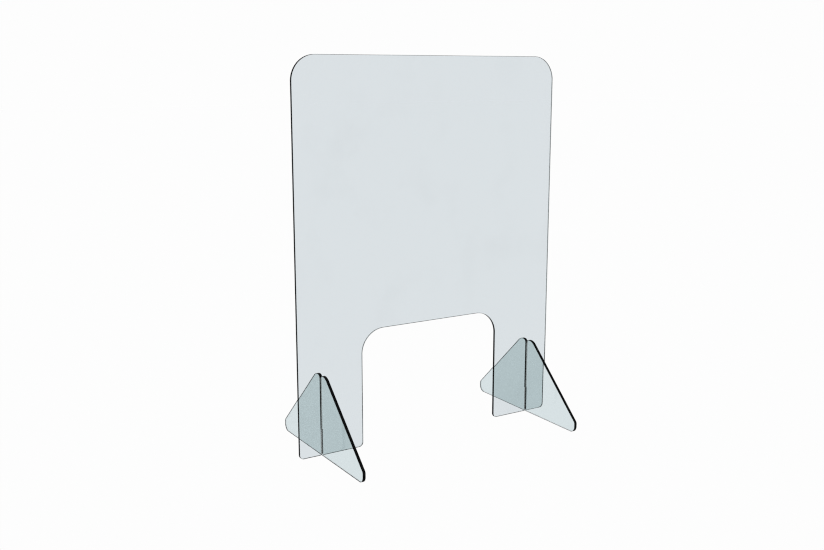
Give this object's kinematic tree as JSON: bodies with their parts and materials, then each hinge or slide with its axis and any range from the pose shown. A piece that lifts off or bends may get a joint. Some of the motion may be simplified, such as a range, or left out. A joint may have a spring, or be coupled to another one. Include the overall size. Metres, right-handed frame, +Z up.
{
  "type": "desk screen",
  "caption": "Clear acrylic desk screen with a bottom pass-through opening, standing upright on two slotted cross feet.",
  "frame": {"origin": "on the desk, under the middle of the screen panel's thickness and width", "axes": "+Z up; +X along the screen towards the right foot; +Y through the panel from its front to its back, along the feet"},
  "size_m": [0.598, 0.334, 0.762],
  "materials": {
    "clear_acrylic": "clear cast acrylic sheet, glossy faces, polished laser-cut edges"
  },
  "bodies": {
    "left_foot": {"left_foot": "clear_acrylic"},
    "screen": {"screen_panel": "clear_acrylic"},
    "right_foot": {"right_foot": "clear_acrylic"}
  },
  "joints": [
    {"name": "screen_lift", "type": "slide", "parent": "left_foot", "child": "screen", "axis": [0, 0, 1], "range_m": [0, 0.108]},
    {"name": "right_foot_slide", "type": "slide", "parent": "screen", "child": "right_foot", "axis": [0, 0, -1], "range_m": [0, 0.108]}
  ]
}
